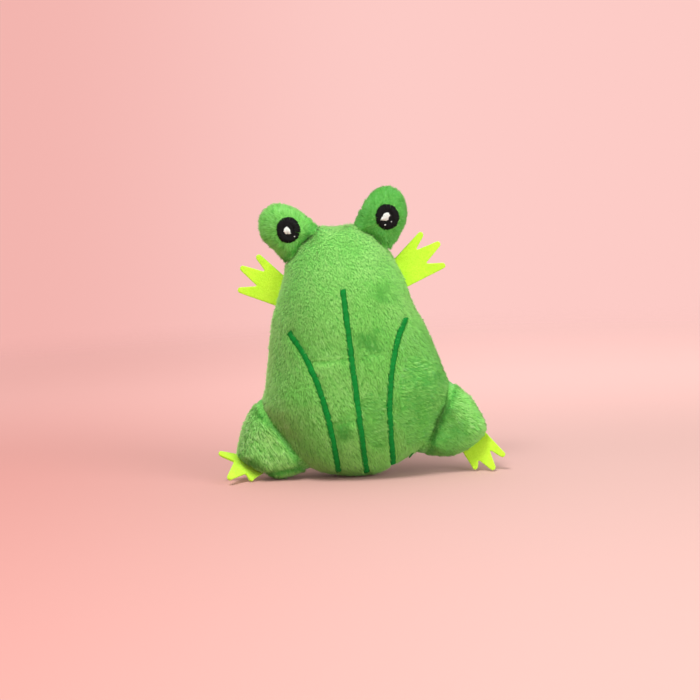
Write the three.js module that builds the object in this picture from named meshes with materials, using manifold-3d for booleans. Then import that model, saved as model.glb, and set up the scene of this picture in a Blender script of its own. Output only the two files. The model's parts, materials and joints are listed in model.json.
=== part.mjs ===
// A stuffed frog cat toy with catnip inside, about 120 mm tall. It stands on its tail end and is seen
// from behind: its back, with three embroidered lines, faces -y and its belly faces +y. The head is
// up, the frog's left is -x, and z = 0 is the surface that it stands on.
// Plush body, eye pods and hind legs are each two panels sewn round the edge and stuffed. The felt
// hands and feet are sewn into the seams. Each limb flexes along the line where it is sewn on.
import * as THREE from "three";
import { mergeVertices } from "three/addons/utils/BufferGeometryUtils.js";
import Module from "manifold-3d";

const wasm = await Module();
wasm.setup();

// All lengths are in millimetres and all angles in degrees.

// How the toy stands
const LEAN = 4.4; // the head end tips to the frog's left
const PRESSED_FLAT = 0.5; // depth of stuffing pressed flat by the ground

// Cloth and clearances
const PLUSH = 1.6; // plush cloth with its pile
const FELT = 1.2; // felt sheet
const SACHET_CLOTH = 0.6; // thin filter cloth round the catnip
const THREAD = 0.6; // thickness of the embroidery
const SEAM_GAP = 0.3; // between the two panels of one form, at their seam
const LINING_GAP = 0.3; // between cloth and what it holds
const THREAD_GAP = 0.3; // between the plush and the embroidery on it
const HINGE_GAP = 0.6; // between a stuffed limb and the body, room for it to flex
const FELT_GAP = 0.9; // between a felt piece and the seam that holds it, room for it to flex

// Body seam, from the tail end up: half widths and the heights where they lie
const TAIL_HALF = 12;
const TAIL_HEIGHT = 2;
const RUMP_HALF = 22.8;
const RUMP_HEIGHT = 6.4;
const HAUNCH_HALF = 31.4;
const HAUNCH_HEIGHT = 16.4;
const HIP_HALF = 37.8;
const HIP_HEIGHT = 32;
const WAIST_HALF = 33.1;
const WAIST_HEIGHT = 51;
const CHEST_HALF = 26.6;
const CHEST_HEIGHT = 71.5;
const CHEEK_HALF = 20.8;
const CHEEK_HEIGHT = 88;
const BROW_HALF = 12.6;
const BROW_HEIGHT = 99;
const BODY_HEIGHT = 101.6;
const BODY_CROWN = 22; // half thickness
const BODY_CENTRE_HEIGHT = 37; // where it is thickest

// Places along the body's seam, measured from the middle of the crown down each side
const POD_FROM = 7.9;
const POD_TO = 25.5;
const HAND_FROM = { left: 32.2, right: 30.2 };
const HAND_TO = { left: 44.2, right: 42.2 };
const LEG_FROM = { left: 83, right: 84 };
const LEG_TO = 116.8;

// Eye pods: outline beyond their sewn edge, [reach, along]
const POD_OUTLINE = [
  [5.1, 10.5],
  [10.2, 10.5],
  [14.8, 9.2],
  [18.2, 6.5],
  [19.8, 2.2],
  [19.2, -2],
  [16.4, -5.8],
  [12.9, -8.2],
  [8.6, -9.2],
  [4, -9.6],
];
const POD_CROWN = 7.6; // half thickness
const POD_CENTRE = [9.6, 0.2]; // where it is thickest, [reach, along]
const POD_TILT = { left: -4, right: 4 }; // how far a pod turns towards the crown of the head
const POD_REACH = { left: 1.1, right: 1.4 }; // how far the sewn edge is set out
const EYE_CENTRE = { left: [8, 2.1], right: [10, -0.6] }; // [reach, along]
const EYE_WIDE = 9.4;
const EYE_HIGH = 10.4;
const GLINT_WIDE = 2.9;
const GLINT_HIGH = 3.8;

// Hind legs: outline beyond their sewn edge, [reach, along]. The left one is cut off straight where
// its foot is sewn in.
const LEFT_LEG = [
  [4.2, 17],
  [8.6, 14.7],
  [13, 12],
  [17.2, 8.8],
  [19.4, 6.4],
  [19.2, 3.4],
  [17.9, -0.8],
  [16.1, -6.2],
  [13.7, -10.8],
  [10.3, -13.8],
  [5.9, -15.4],
];
const RIGHT_LEG = [
  [3.8, 15.3],
  [8.9, 13.7],
  [14.1, 10.7],
  [18.4, 7.9],
  [20.6, 5],
  [20.8, 2.2],
  [19.4, -2.2],
  [17, -7.3],
  [13.8, -11],
  [10.1, -13.4],
  [5.9, -15],
];
const LEG_OUTLINE = { left: LEFT_LEG, right: RIGHT_LEG };
const LEG_CROWN = 9.2; // half thickness
const LEG_CENTRE = [12, 0.8]; // where it is thickest, [reach, along]
const LEG_TILT = { left: -2, right: 0 }; // the left leg sags on to the ground
const LEG_REACH = { left: 1.1, right: 0.2 }; // how far the sewn edge is set out

// Felt hands and feet: tips of the digits and the notches between them, [reach, along]
const DIGIT_TIP = 1.2; // radius of a digit's end
const HAND = {
  tips: [
    [13.6, 11.3],
    [18.4, 4.6],
    [16.6, -4.5],
  ],
  notches: [
    [8.2, 5.8],
    [9.6, -0.6],
  ],
};
const HAND_REACH = { left: -0.2, right: 0.2 }; // how far the sewn edge is set in or out
const HAND_TURN = { left: 8, right: 0 }; // within the sheet, towards the head
const LEFT_FOOT = {
  tips: [
    [4.4, 13.2],
    [13.6, 4.7],
    [6.9, -3.9],
  ],
  notches: [
    [3.5, 6],
    [5.3, -0.5],
  ],
};
const RIGHT_FOOT = {
  tips: [
    [12.4, 5.4],
    [13.6, -1.6],
    [8, -7.3],
  ],
  notches: [
    [6.2, 2.4],
    [6, -3.6],
  ],
};
const FOOT = { left: LEFT_FOOT, right: RIGHT_FOOT };
const FOOT_FROM = { left: 24.9, right: 25.9 }; // along the leg's outer seam, from its top
const FOOT_TO = { left: 38, right: 38.1 };
const FOOT_BEND = { left: 58, right: 25 }; // out of the seam, towards the back's side

// Embroidered lines on the back: points on their middles from the top down, [across, height]
const LINE_WIDE = 2.3;
const LINE_DRIFT = 0.5; // how far all three drift to the frog's right towards the tail end
const MIDDLE_LINE = [
  [0, 76.3],
  [0, 40],
  [0, 4],
];
const SIDE_LINE = [
  [22.7, 61.8],
  [19.3, 56.6],
  [16.9, 50.2],
  [14.7, 43.3],
  [13.3, 36.4],
  [12.1, 28.3],
  [11.4, 20],
  [11.1, 12.4],
  [10.8, 5.6],
];

// Catnip sachet
const SACHET_WIDE = 34;
const SACHET_HIGH = 40;
const SACHET_CORNER = 7;
const SACHET_CROWN = 5;
const SACHET_HEIGHT = 38; // its middle, above the tail end

// How finely the forms are drawn
const BODY_FACETS = { round: 48, rings: 6 };
const LEG_FACETS = { edge: 7, round: 17, rings: 4 };
const POD_FACETS = { edge: 5, round: 17, rings: 4 };
const SACHET_FACETS = { corner: 4, rings: 3 };
const EYE_FACETS = 20;
const TIP_FACETS = 4;
const LINE_STEPS = 12;
const CAP_FACETS = 4;
const SEAM_SAMPLES = 400;
const SEAM_STEPS = 12; // at which the bulge of a sewn stretch is measured
const LEAST_SLANT = 0.5; // how far from square a form's edge may lie to its ray and still move fully

function cloth(color, roughness) {
  return new THREE.MeshStandardMaterial({ color, roughness, metalness: 0 });
}

const plush = () => cloth(0x6cb554, 0.95);
const wadding = () => cloth(0xf2f1ea, 1);
const filterCloth = () => cloth(0xe9e4d6, 0.9);
const driedLeaf = () => cloth(0x7b8246, 1);
const felt = () => cloth(0xb9f53c, 0.9);
const greenThread = () => cloth(0x0f7a33, 0.55);
const blackThread = () => cloth(0x17131a, 0.5);
const whiteThread = () => cloth(0xe6ece4, 0.5);

// Outlines are lists of points in the seam plane, x across and y up, counter-clockwise.

function point(x, y) {
  return new THREE.Vector2(x, y);
}

function smooth(points) {
  const line = points.map((p) => new THREE.Vector3(p.x, p.y, 0));
  return new THREE.CatmullRomCurve3(line, false, "centripetal");
}

function along(curve, steps) {
  return curve.getSpacedPoints(steps).map((p) => point(p.x, p.y));
}

// An outline drawn on the frog's right, or the same one on its left.
function onSide(side, outline) {
  if (side === "right") return outline;
  return outline.map((p) => point(-p.x, p.y)).reverse();
}

// The outline moved outwards all round. Its points stay on their own rays from the centre, so that
// they never cross, and go as far along them as it takes to move the edge by the distance.
function offset(outline, centre, distance) {
  const count = outline.length;
  return outline.map((p, i) => {
    const before = outline[(i + count - 1) % count];
    const heading = outline[(i + 1) % count].clone().sub(before).normalize();
    const ray = p.clone().sub(centre);
    const slant = ray.clone().normalize().cross(heading);
    return p.clone().add(ray.setLength(distance / Math.max(slant, LEAST_SLANT)));
  });
}

function onCircle(centre, radius, angle) {
  const x = centre.x + radius * Math.cos(angle);
  const y = centre.y + radius * Math.sin(angle);
  return point(x, y);
}

// Points on an arc, counter-clockwise from one angle to another.
function arc(centre, radius, from, to, steps) {
  const angle = (i) => from + ((to - from) * i) / steps;
  return Array.from({ length: steps + 1 }, (_, i) => onCircle(centre, radius, angle(i)));
}

function ellipse(centre, wide, high) {
  const round = arc(point(0, 0), 0.5, 0, 2 * Math.PI, EYE_FACETS).slice(1);
  return round.map((p) => point(centre.x + p.x * wide, centre.y + p.y * high));
}

// The outline of a line of even width with round ends, from the points on its middle.
function ribbon(middle, wide) {
  const last = middle.length - 1;
  const right = -Math.PI / 2;
  const heading = (i) => {
    const ahead = middle[Math.min(i + 1, last)];
    return ahead.clone().sub(middle[Math.max(i - 1, 0)]).angle();
  };
  const beside = (turn) => (i) => onCircle(middle[i], wide / 2, heading(i) + turn);
  const cap = (i, start) => arc(middle[i], wide / 2, start, start + Math.PI, CAP_FACETS);
  const inner = middle.map((_, i) => i).slice(1, -1);
  return [
    ...inner.map(beside(right)),
    ...cap(last, heading(last) + right),
    ...inner.reverse().map(beside(-right)),
    ...cap(0, heading(0) - right),
  ];
}

// Solids

function solid(positions, corners) {
  return new wasm.Manifold(
    new wasm.Mesh({
      numProp: 3,
      vertProperties: new Float32Array(positions),
      triVerts: new Uint32Array(corners),
    }),
  );
}

function solidOf(geometry) {
  geometry.deleteAttribute("normal");
  geometry.deleteAttribute("uv");
  const merged = mergeVertices(geometry, 1e-3);
  return solid(merged.attributes.position.array, merged.index.array);
}

// A flat sheet with the given outline, between two distances from the seam plane.
function sheet(outline, from, to) {
  const shape = new THREE.Shape(outline);
  const geometry = new THREE.ExtrudeGeometry(shape, {
    depth: to - from,
    bevelEnabled: false,
  });
  return solidOf(geometry.rotateX(Math.PI / 2).translate(0, to, 0));
}

// All that lies on one side of the seam plane: -1 is the back's side, 1 the belly's.
function sideSpace(side) {
  const reach = 4 * BODY_HEIGHT;
  const box = new THREE.BoxGeometry(reach, reach, reach);
  return solidOf(box.translate(0, (side * (reach + SEAM_GAP)) / 2, 0));
}

const backSpace = sideSpace(-1);
const bellySpace = sideSpace(1);

// A form of two equal panels sewn round an outline and stuffed, thickest at its centre. Grow is how
// far its surface lies outside the form's own, or below 0 inside it.
function stuffed({ outline, centre, crown, rings }, grow = 0) {
  const edge = offset(outline, centre, grow);
  const count = edge.length;
  const positions = edge.flatMap((p) => [p.x, 0, p.y]);
  const corners = [];
  for (const side of [-1, 1]) {
    const starts = [0];
    for (let ring = 1; ring < rings; ring++) {
      starts.push(positions.length / 3);
      const climb = ((ring / rings) * Math.PI) / 2;
      const spread = Math.cos(climb) ** 0.8;
      const rise = side * (crown + grow) * Math.sin(climb);
      for (const p of edge) {
        const q = centre.clone().lerp(p, spread);
        positions.push(q.x, rise, q.y);
      }
    }
    const top = positions.length / 3;
    positions.push(centre.x, side * (crown + grow), centre.y);
    const facet = (a, b, c) => corners.push(a, ...(side < 0 ? [b, c] : [c, b]));
    for (let i = 0; i < count; i++) {
      const next = (i + 1) % count;
      for (let ring = 0; ring < rings - 1; ring++) {
        const [low, high] = [starts[ring], starts[ring + 1]];
        facet(low + i, low + next, high + next);
        facet(low + i, high + next, high + i);
      }
      facet(starts[rings - 1] + i, starts[rings - 1] + next, top);
    }
  }
  return solid(positions, corners);
}

// The two sewn panels of a form: cloth that follows its surface.
function panels(form, thickness) {
  const skin = stuffed(form).subtract(stuffed(form, -thickness));
  return [skin.intersect(backSpace), skin.intersect(bellySpace)];
}

function filling(form, thickness) {
  return stuffed(form, -thickness - LINING_GAP);
}

// Thread that covers an outline on the back of a form.
function embroidery(form, outline) {
  const layer = stuffed(form, THREAD_GAP + THREAD).subtract(stuffed(form, THREAD_GAP));
  return layer.intersect(sheet(outline, -2 * BODY_CROWN, 0));
}

// Seams, and what is sewn into them

// A seam that can be measured along from its start.
function seamAlong(curve) {
  const total = curve.getLength();
  const fine = along(curve, SEAM_SAMPLES);
  const at = (distance) => {
    const place = THREE.MathUtils.clamp(distance / total, 0, 1) * SEAM_SAMPLES;
    const i = Math.min(Math.floor(place), SEAM_SAMPLES - 1);
    return fine[i].clone().lerp(fine[i + 1], place - i);
  };
  const stretch = (from, to, steps) =>
    Array.from({ length: steps + 1 }, (_, i) => at(from + ((to - from) * i) / steps));
  return { at, stretch };
}

// Where a limb is sewn into a stretch of a seam. Places on the limb are given from the middle of the
// straight line between the ends of that stretch: reach is measured out from it, square to it, and
// along is measured on it, towards the top. The limb's hinge is parallel to that line, where the seam
// bulges furthest out.
function attachment(seam, from, to) {
  const top = seam.at(from);
  const bottom = seam.at(to);
  const middle = top.clone().lerp(bottom, 0.5);
  const turn = top.clone().sub(bottom).angle() - Math.PI / 2;
  const turned = (reach, up, tilt = 0) => {
    const angle = turn + THREE.MathUtils.degToRad(tilt);
    return point(reach, up).rotateAround(point(0, 0), angle);
  };
  const place = ([reach, up], tilt) => turned(reach, up, tilt).add(middle);
  const followed = (gap, steps) =>
    seam.stretch(from, to, steps).map((p) => p.add(turned(gap, 0)));
  const reaches = followed(0, SEAM_STEPS).map((p) => p.sub(middle).dot(turned(1, 0)));
  const bulge = Math.max(...reaches);
  const half = top.distanceTo(bottom) / 2;
  const straight = (gap) => [place([bulge + gap, half]), place([bulge + gap, -half])];
  return { middle, turn, place, followed, straight, hinge: place([bulge, 0]) };
}

// Body

const bodySide = smooth([
  point(0, BODY_HEIGHT),
  point(BROW_HALF, BROW_HEIGHT),
  point(CHEEK_HALF, CHEEK_HEIGHT),
  point(CHEST_HALF, CHEST_HEIGHT),
  point(WAIST_HALF, WAIST_HEIGHT),
  point(HIP_HALF, HIP_HEIGHT),
  point(HAUNCH_HALF, HAUNCH_HEIGHT),
  point(RUMP_HALF, RUMP_HEIGHT),
  point(TAIL_HALF, TAIL_HEIGHT),
  point(0, 0),
]);
const bodySeam = seamAlong(bodySide);

function bodyForm() {
  const right = along(bodySide, BODY_FACETS.round / 2).reverse();
  const left = onSide("left", right).slice(1, -1);
  return {
    outline: [...right, ...left],
    centre: point(0, BODY_CENTRE_HEIGHT),
    crown: BODY_CROWN,
    rings: BODY_FACETS.rings,
  };
}

function sachetForm() {
  const x = SACHET_WIDE / 2 - SACHET_CORNER;
  const y = SACHET_HIGH / 2 - SACHET_CORNER;
  const quarter = Math.PI / 2;
  const corners = [point(x, y), point(-x, y), point(-x, -y), point(x, -y)];
  const outline = corners.flatMap((corner, i) => {
    const centre = point(corner.x, SACHET_HEIGHT + corner.y);
    const start = i * quarter;
    return arc(centre, SACHET_CORNER, start, start + quarter, SACHET_FACETS.corner);
  });
  return {
    outline,
    centre: point(0, SACHET_HEIGHT),
    crown: SACHET_CROWN,
    rings: SACHET_FACETS.rings,
  };
}

// Limbs, drawn on the frog's right and mirrored for its left

const podAttachment = attachment(bodySeam, POD_FROM, POD_TO);

// The outer edge of a stuffed limb, from the top end of its sewn edge round to the bottom end.
function outerEdge(sewn, rows, tilt, further = 0) {
  const [top, bottom] = sewn.followed(HINGE_GAP, 1);
  const free = rows.map(([reach, up]) => sewn.place([reach + further, up], tilt));
  return smooth([top, ...free, bottom]);
}

function limbForm(side, sewn, outer, thickest, crown, facets) {
  const free = along(outer, facets.round).reverse();
  const edge = sewn.followed(HINGE_GAP, facets.edge).slice(1, -1);
  return {
    outline: onSide(side, [...free, ...edge]),
    centre: onSide(side, [sewn.place(thickest)])[0],
    crown,
    rings: facets.rings,
  };
}

// A felt piece: its straight root, then each digit's round end and the notches between the digits.
function digits(sewn, { tips, notches }, further = 0, turn = 0) {
  const spot = ([reach, up]) => sewn.place([reach + further, up], turn);
  const quarter = Math.PI / 2;
  const ends = tips.map((row) => {
    const pointing = spot(row).sub(sewn.middle);
    const angle = pointing.angle();
    const centre = pointing.setLength(pointing.length() - DIGIT_TIP).add(sewn.middle);
    return arc(centre, DIGIT_TIP, angle - quarter, angle + quarter, TIP_FACETS);
  });
  const [first, second, third] = ends;
  const [upper, lower] = notches.map(spot);
  return [...third, lower, ...second, upper, ...first, ...sewn.straight(FELT_GAP)];
}

// Assembly. The toy is built upright with the middle of its tail end at the origin, then leant.

const body = bodyForm();
const frog = new THREE.Group();

function leanOver() {
  const lean = THREE.MathUtils.degToRad(LEAN);
  const leant = body.outline.map((p) => p.clone().rotateAround(point(0, 0), lean));
  const lowest = leant.reduce((a, b) => (b.y < a.y ? b : a));
  frog.rotation.y = -lean;
  frog.position.z = -lowest.y - PRESSED_FLAT;
  frog.updateMatrix();
}

// The ground, in the upright toy's own space.
function groundSpace() {
  const reach = 4 * BODY_HEIGHT;
  const box = new THREE.BoxGeometry(reach, reach, reach).translate(0, 0, -reach / 2);
  return solidOf(box.applyMatrix4(frog.matrix.clone().invert()));
}

leanOver();
const ground = groundSpace();

// The group in which a limb turns about its hinge, which lies along the group's z axis.
function hingeGroup(side, { hinge, turn }, parent) {
  const out = side === "right" ? 1 : -1;
  const upright = new THREE.Matrix4().makeRotationY(-out * turn);
  upright.setPosition(out * hinge.x, 0, hinge.y);
  const group = new THREE.Group();
  group.userData.upright = upright;
  group.applyMatrix4(upright);
  if (parent !== frog) group.applyMatrix4(parent.userData.upright.clone().invert());
  parent.add(group);
  return group;
}

// Adds a piece that was made in the upright toy's space to the group that carries it.
function add(group, name, piece, material) {
  const { vertProperties, triVerts } = piece.getMesh();
  const geometry = new THREE.BufferGeometry();
  geometry.setAttribute("position", new THREE.BufferAttribute(vertProperties, 3));
  geometry.setIndex(new THREE.BufferAttribute(triVerts, 1));
  if (group !== frog) geometry.applyMatrix4(group.userData.upright.clone().invert());
  geometry.computeVertexNormals();
  const mesh = new THREE.Mesh(geometry, material);
  mesh.name = name;
  group.add(mesh);
}

function addBody() {
  const [back, belly] = panels(body, PLUSH);
  add(frog, "back_panel", back.subtract(ground), plush());
  add(frog, "belly_panel", belly.subtract(ground), plush());
  const sachet = sachetForm();
  const stuffing = filling(body, PLUSH).subtract(stuffed(sachet, LINING_GAP));
  add(frog, "back_wadding", stuffing.intersect(backSpace), wadding());
  add(frog, "belly_wadding", stuffing.intersect(bellySpace), wadding());
  const [sachetBack, sachetBelly] = panels(sachet, SACHET_CLOTH);
  add(frog, "sachet_back", sachetBack, filterCloth());
  add(frog, "sachet_belly", sachetBelly, filterCloth());
  add(frog, "catnip", filling(sachet, SACHET_CLOTH), driedLeaf());
}

function addBackLine(name, side, rows) {
  const top = MIDDLE_LINE[0][1];
  const drift = (side === "left" ? -1 : 1) * LINE_DRIFT;
  const drifted = rows.map(([x, y]) => point(x + drift * (1 - y / top), y));
  const middle = along(smooth(drifted), LINE_STEPS);
  const outline = onSide(side, ribbon(middle, LINE_WIDE));
  add(frog, name, embroidery(body, outline), greenThread());
}

function addEyePod(side) {
  const tilt = POD_TILT[side];
  const outer = outerEdge(podAttachment, POD_OUTLINE, tilt, POD_REACH[side]);
  const pod = limbForm(side, podAttachment, outer, POD_CENTRE, POD_CROWN, POD_FACETS);
  const group = hingeGroup(side, podAttachment, frog);
  const [back, belly] = panels(pod, PLUSH);
  add(group, `${side}_pod_back`, back, plush());
  add(group, `${side}_pod_front`, belly, plush());
  add(group, `${side}_pod_wadding`, filling(pod, PLUSH), wadding());
  const centre = podAttachment.place(EYE_CENTRE[side], tilt);
  const round = (wide, high) => onSide(side, ellipse(centre, wide, high));
  const glint = round(GLINT_WIDE, GLINT_HIGH);
  const around = round(GLINT_WIDE + 2 * THREAD_GAP, GLINT_HIGH + 2 * THREAD_GAP);
  const hole = sheet(around, -2 * BODY_CROWN, 0);
  const eye = embroidery(pod, round(EYE_WIDE, EYE_HIGH)).subtract(hole);
  add(group, `${side}_eye`, eye, blackThread());
  add(group, `${side}_eye_glint`, embroidery(pod, glint), whiteThread());
}

function addHand(side) {
  const sewn = attachment(bodySeam, HAND_FROM[side], HAND_TO[side]);
  const outline = digits(sewn, HAND, HAND_REACH[side], HAND_TURN[side]);
  const group = hingeGroup(side, sewn, frog);
  const hand = sheet(onSide(side, outline), -FELT / 2, FELT / 2);
  add(group, `${side}_hand`, hand, felt());
}

function addLeg(side) {
  const sewn = attachment(bodySeam, LEG_FROM[side], LEG_TO);
  const outer = outerEdge(sewn, LEG_OUTLINE[side], LEG_TILT[side], LEG_REACH[side]);
  const leg = limbForm(side, sewn, outer, LEG_CENTRE, LEG_CROWN, LEG_FACETS);
  const group = hingeGroup(side, sewn, frog);
  const [back, belly] = panels(leg, PLUSH);
  add(group, `${side}_leg_back`, back.subtract(ground), plush());
  add(group, `${side}_leg_front`, belly.subtract(ground), plush());
  add(group, `${side}_leg_wadding`, filling(leg, PLUSH), wadding());
  addFoot(side, seamAlong(outer), group);
}

function addFoot(side, legSeam, leg) {
  const sewn = attachment(legSeam, FOOT_FROM[side], FOOT_TO[side]);
  const outline = digits(sewn, FOOT[side]);
  const group = hingeGroup(side, sewn, leg);
  const foot = sheet(onSide(side, outline), -FELT / 2, FELT / 2);
  add(group, `${side}_foot`, foot, felt());
  const backwards = side === "right" ? -1 : 1;
  group.rotateZ(THREE.MathUtils.degToRad(backwards * FOOT_BEND[side]));
}

function centreOverOrigin() {
  const middle = new THREE.Box3().setFromObject(frog, true).getCenter(new THREE.Vector3());
  frog.position.x -= middle.x;
  frog.position.y -= middle.y;
}

addBody();
addBackLine("middle_back_line", "right", MIDDLE_LINE);
for (const side of ["left", "right"]) {
  addBackLine(`${side}_back_line`, side, SIDE_LINE);
  addEyePod(side);
  addHand(side);
  addLeg(side);
}
centreOverOrigin();

export default frog;
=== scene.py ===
import json
import math

import bpy
import numpy as np
from mathutils import Matrix, Vector, noise
from mathutils.bvhtree import BVHTree
from mathutils.kdtree import KDTree

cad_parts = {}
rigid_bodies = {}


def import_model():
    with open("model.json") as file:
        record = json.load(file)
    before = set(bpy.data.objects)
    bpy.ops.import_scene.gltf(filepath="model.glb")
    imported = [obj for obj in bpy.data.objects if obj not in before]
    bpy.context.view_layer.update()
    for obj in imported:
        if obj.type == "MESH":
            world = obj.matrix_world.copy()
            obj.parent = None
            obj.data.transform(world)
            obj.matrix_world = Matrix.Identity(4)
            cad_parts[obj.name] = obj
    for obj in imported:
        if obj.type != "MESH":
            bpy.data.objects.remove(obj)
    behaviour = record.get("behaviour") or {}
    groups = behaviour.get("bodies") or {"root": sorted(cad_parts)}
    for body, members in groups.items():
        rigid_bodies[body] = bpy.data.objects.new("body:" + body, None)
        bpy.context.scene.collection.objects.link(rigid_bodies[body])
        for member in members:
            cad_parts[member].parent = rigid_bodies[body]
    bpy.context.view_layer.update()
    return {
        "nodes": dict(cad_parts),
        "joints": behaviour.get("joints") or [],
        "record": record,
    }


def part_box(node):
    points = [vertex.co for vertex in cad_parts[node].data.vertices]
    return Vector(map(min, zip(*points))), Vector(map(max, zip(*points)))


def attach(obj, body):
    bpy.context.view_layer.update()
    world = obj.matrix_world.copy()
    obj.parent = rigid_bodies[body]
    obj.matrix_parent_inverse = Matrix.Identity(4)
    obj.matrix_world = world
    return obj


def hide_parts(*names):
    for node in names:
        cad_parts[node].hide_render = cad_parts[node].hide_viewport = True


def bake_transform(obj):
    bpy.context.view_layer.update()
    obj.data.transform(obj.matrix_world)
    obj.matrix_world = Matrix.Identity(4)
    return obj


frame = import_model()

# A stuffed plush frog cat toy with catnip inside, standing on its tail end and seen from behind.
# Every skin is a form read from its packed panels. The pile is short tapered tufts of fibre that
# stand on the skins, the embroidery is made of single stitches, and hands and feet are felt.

MM = 0.001
SIDES = ("left", "right")

# How the toy stands: it leans to its left about TAIL, the middle of its tail end. Places on it are
# given for the upright toy, in millimetres across and up from there.
LEAN = math.radians(4.4)
TAIL = np.array([1.336, 0.45, -0.5]) * MM
ACROSS = np.array([math.cos(LEAN), 0, math.sin(LEAN)])
UPWARD = np.array([-math.sin(LEAN), 0, math.cos(LEAN)])
SEAM = TAIL[1]  # the y of the plane that all seams lie in
LOOK_DOWN = math.radians(7)  # how steeply the camera looks down

# Cloth
SKIN_DEPTH = 0.9 * MM  # the knitted backing lies this far inside the panels' face
LINING = 2.2 * MM  # the body's wadding starts this far inside the panels' face
LIMB_LINING = 3.2 * MM  # the limbs' wadding is smaller, so that it stays covered as they flex
SEAM_GROOVE = 0.45 * MM  # how far a seam is drawn in
FLOOR_GAP = 0.03 * MM  # the least height of cloth and pile over the floor
TUCK = 4.2 * MM  # how far a limb's sewn edge reaches in under the pile of the body
POD_FLARE = (0.3 * MM, 0.3 * MM)  # how much wider a limb is at its sewn edge, above and below
LEG_FLARE = (0.8 * MM, 1.5 * MM)
# How high the cloth stands beside a sewn edge, as a share of the limb's crown, and how far out
CREASE = {"eye_pod": (0.75, 5 * MM), "leg": (0.86, 9 * MM)}
GROOVE = 0.32  # the share of that height that is missing right at the edge
EDGE_IN = 1.1 * MM  # the plush of the body ends this far inside a limb's hinge

# Where stuffing and stitching pull the outline aside: (across, height), reach, (right, up)
PULLS = [
    ((-30, 68), 12, (-1.5, 0)), ((-36, 40), 6, (0.8, 0)),
    ((27.5, 66), 8, (-1, 0)), ((36, 39), 5, (-0.9, 0)),
    ((19, 4), 10, (-0.2, 1.8)), ((39, 2), 8, (0, 0.9)),
    ((-29, 104), 6, (0.4, 0)), ((-8.8, 104), 6, (0.5, 0.7)),
    ((10, 105), 6, (0.6, -0.2)), ((29, 104), 7, (-0.4, 0)),
    ((22, 114), 6, (0, 0.4)), ((-26, 95), 4, (0.6, 0.4)),
    ((-6.2, 100), 3, (-0.5, 1.2)), ((7, 100.5), 3, (0.4, 1.2)),
    ((-21, 88.5), 3, (-1.2, 0)), ((-39, 33), 4, (-1.6, 0.3)),
    ((43, 28), 8, (0.7, 0.8)), ((-43, 28), 6, (-0.5, 0.3)),
    ((-32, 18.5), 11, (1.9, 1.2)), ((33, 20), 9, (-1.1, 0.7)),
]

# Furrows in the plush on the back's side of a limb, dented in and painted darker as painted shade:
# (from, to, depth, reach)
FURROWS = {"left_leg": [((-41, 6.6), (-25.4, 8), 1, 1.2)]}

# Pile
PILE_LENGTH = 1.7 * MM
PILE_WIDE = 0.31 * MM
ROOTED = 0.15  # millimetres of a tuft that are in the cloth
TUFTS_PER_MM2 = 6.2
TUFTS_PER_STREAK = 7
TUFTS_PER_RIDGE = 12  # where the pile was rubbed into ridges, its streaks are longer
STREAK = 0.36  # a streak's width, as a share of its length
RIDGE_PITCH = 1.5  # millimetres between ridges
LAY = 60  # how many degrees tufts lean over
STRAY = 0.1  # the share of tufts that stand up from the rest
STRAY_UP = 36  # by how many degrees
ROOT_TONE, TIP_TONE = 0.3, 0.64  # places on the ramp of the pile's colours; roots are darker as painted shade deep in the pile

# Marks on the back's pile: lines where it is parted, (from, to, height, reach), dark spots,
# (across, height, reach, amount), and patches that were rubbed crosswise, (left, right, low, high)
PARTINGS = [(-17, -1.5, 47.4, 1.6), (3, 13, 48.2, 1.1), (-12, -1, 23.2, 1.4)]
DARK_SPOTS = [
    (7.6, 53.5, 4.2, 0.9), (14.5, 71.5, 4.8, 0.7), (22.5, 27, 8, 0.5), (28, 36, 6, 0.5),
    (5.8, 26, 4, 0.4), (-6.9, 20.8, 3.6, 0.9), (-49, 13.2, 3, 1), (-44.5, 9.8, 3, 1),
    (38, 15, 5, 0.4),
]
RUBBED = [(2.4, 11.2, 14, 33), (16.4, 32, 12, 44)]

# How the pile is dressed: which way its streaks run and which way it is combed, (across, up), how
# strongly its tufts draw together, and how much of it shows its darker side or is painted with
# shade
GRAIN = {
    "back": (-0.35, 1), "rubbed": (1, 0.12), "belly": (0, 1), "left_pod": (0, 1),
    "right_pod": (0, 1), "left_leg": (-0.6, 1), "right_leg": (1, -0.35),
}
COMB = {"rubbed": (0.8, -0.5), "left_leg": (0.4, -1), "right_leg": (0.8, -0.7)}
RUBBED_CLUMP = 1.5
LIMB_CLUMP = {"pod": 1.7, "leg": 1.6}
# painted shade on each pod's pile, more on the right pod
POD_SHADE = {"left": 0.5, "right": 1.2}
CREASE_SHADE = (0.3, 1.1)  # painted shade in the crease: beside a limb's sewn edge, and right at it

# Embroidery
THREAD_PITCH = 0.3 * MM
THREAD_RADIUS = 0.2 * MM
THREAD_FLAT = 0.6  # how high a stitch is, as a share of its width
LINES = ("middle_back_line", "left_back_line", "right_back_line")
LINE_WIDE = 2.2  # millimetres
LINE_SLANT = 0.3  # how many millimetres each end of a stitch is off square
LINE_BARE = 0.95  # millimetres on both sides of a line's middle that have no pile
LINE_DENT = 0.45 * MM  # how deep the stitching draws the cloth in
LOOSE_END = ((22.4, 5.9), (19.5, 3.6))  # where the loose end of a thread starts and ends

# Half an eye's width and height in millimetres. Its glints: their outlines round its middle, and
# the short stitches below them, (across, up, length)
EYE_HALF = np.array([4.5, 5])
GLINTS = {
    "left": [
        (-0.8, 1.6), (-0.2, 1.8), (0.3, 1.1), (0.7, 0.3), (0.6, -0.7), (1, -1.4),
        (0.8, -1.8), (-0.9, -1.7), (-1.4, -1), (-1.7, -0.1), (-1.4, 0.8),
    ],
    "right": [
        (-0.9, 2), (0.5, 2.1), (1, 0.4), (0.3, -0.8), (0.1, -1.7), (-0.9, -1.7),
        (-2.6, -0.7), (-2.1, 0.1),
    ],
}
SPARKS = {"left": [(2.1, -2.6, 0.5)], "right": [(-1.2, -2.9, 0.7), (1.2, -1.9, 0.4)]}

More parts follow.
